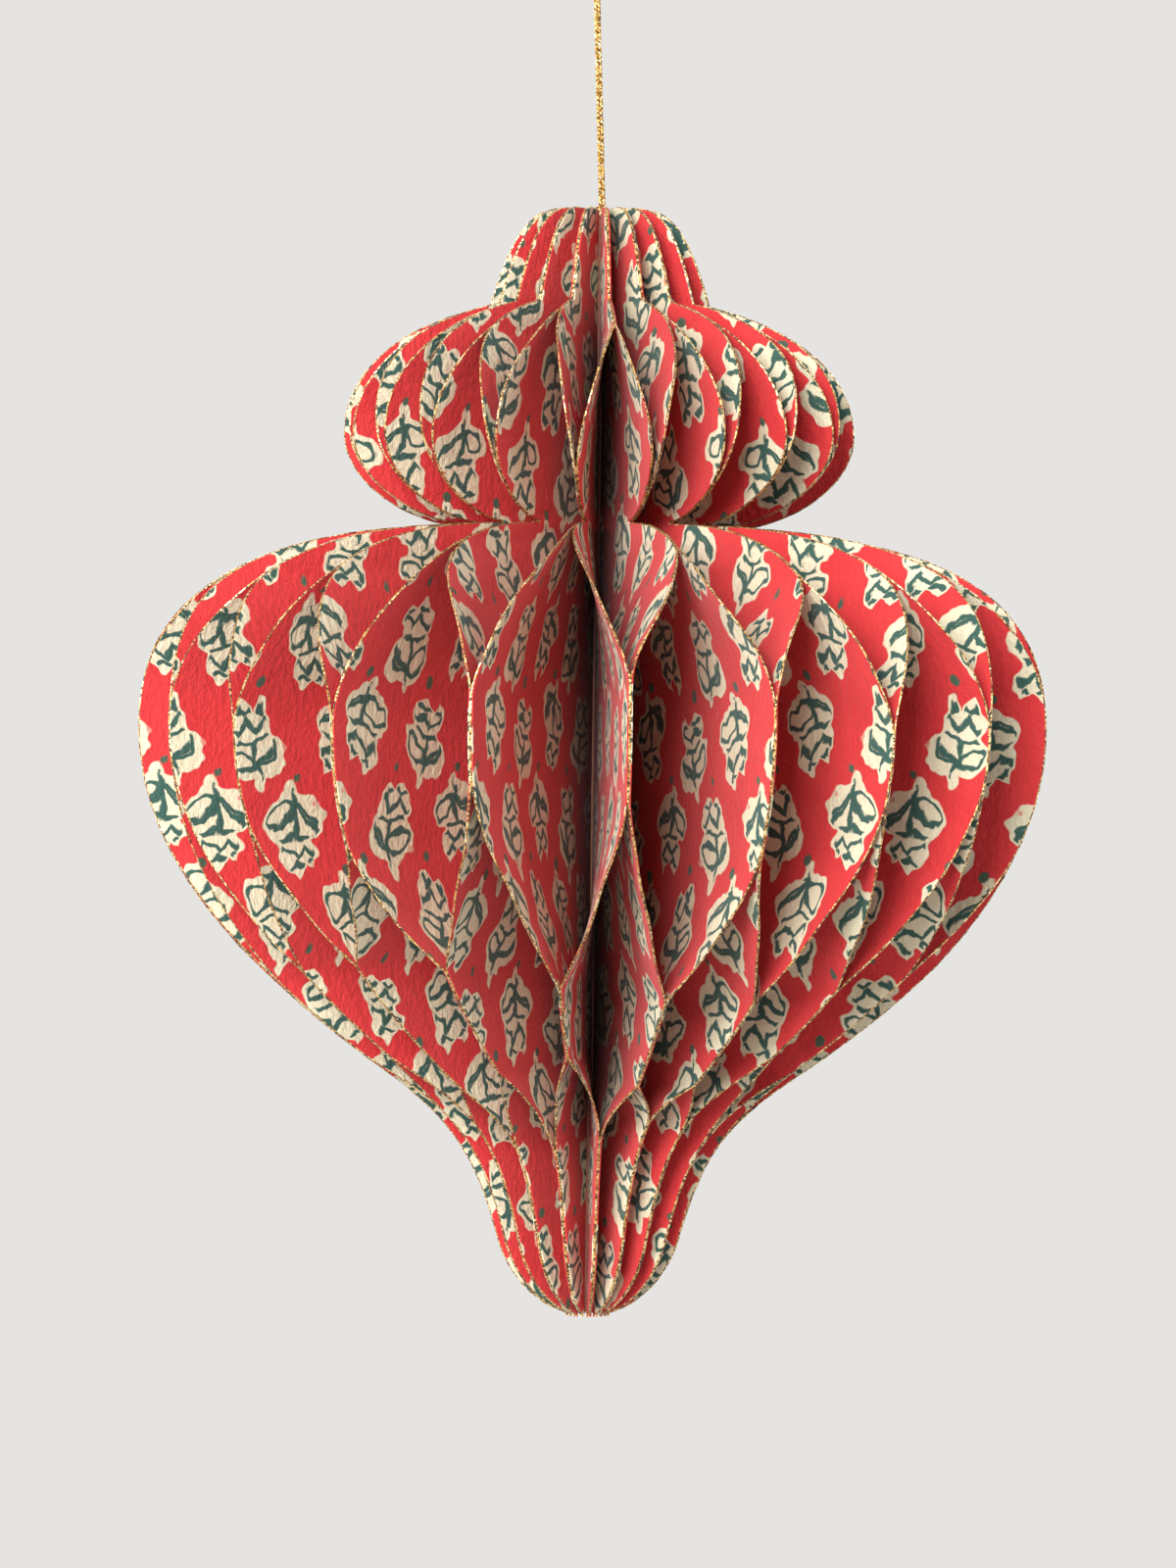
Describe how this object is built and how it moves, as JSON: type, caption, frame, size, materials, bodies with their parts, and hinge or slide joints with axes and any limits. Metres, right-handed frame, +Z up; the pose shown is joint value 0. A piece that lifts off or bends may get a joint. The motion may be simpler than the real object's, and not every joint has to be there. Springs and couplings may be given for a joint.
{
  "type": "honeycomb paper ornament",
  "caption": "Finial-shaped hanging ornament of radial printed paper leaves, glued alternately so that they open into a honeycomb, on a thread loop.",
  "frame": {"origin": "where the thread loop bears on the hook that it hangs from, at the top of the loop's inside", "axes": "+Z up along the paper body's axis, which hangs below the origin and 1.4 mm to +X of it; -Y is the front, where two leaves glued at the belly stand just right of the middle"},
  "size_m": [0.1198, 0.1204, 0.1842],
  "materials": {
    "printed_paper": "matt",
    "glue": "matt",
    "gold_thread": "metallic",
    "gold_edging": "glitter"
  },
  "bodies": {
    "root": {"leaf_01": "printed_paper", "leaf_02": "printed_paper", "leaf_03": "printed_paper", "leaf_04": "printed_paper", "leaf_05": "printed_paper", "leaf_06": "printed_paper", "leaf_07": "printed_paper", "leaf_08": "printed_paper", "leaf_09": "printed_paper", "leaf_10": "printed_paper", "leaf_11": "printed_paper", "leaf_12": "printed_paper", "leaf_13": "printed_paper", "leaf_14": "printed_paper", "leaf_15": "printed_paper", "leaf_16": "printed_paper", "leaf_17": "printed_paper", "leaf_18": "printed_paper", "leaf_19": "printed_paper", "leaf_20": "printed_paper", "leaf_21": "printed_paper", "leaf_22": "printed_paper", "leaf_23": "printed_paper", "leaf_24": "printed_paper", "leaf_25": "printed_paper", "leaf_26": "printed_paper", "leaf_27": "printed_paper", "leaf_28": "printed_paper", "leaf_29": "printed_paper", "leaf_30": "printed_paper", "leaf_31": "printed_paper", "leaf_32": "printed_paper", "leaf_33": "printed_paper", "leaf_34": "printed_paper", "leaf_35": "printed_paper", "leaf_36": "printed_paper", "leaf_37": "printed_paper", "leaf_38": "printed_paper", "leaf_39": "printed_paper", "leaf_40": "printed_paper", "glued_spine": "glue", "thread_knot": "gold_thread", "hanging_thread": "gold_thread"}
  },
  "joints": []
}
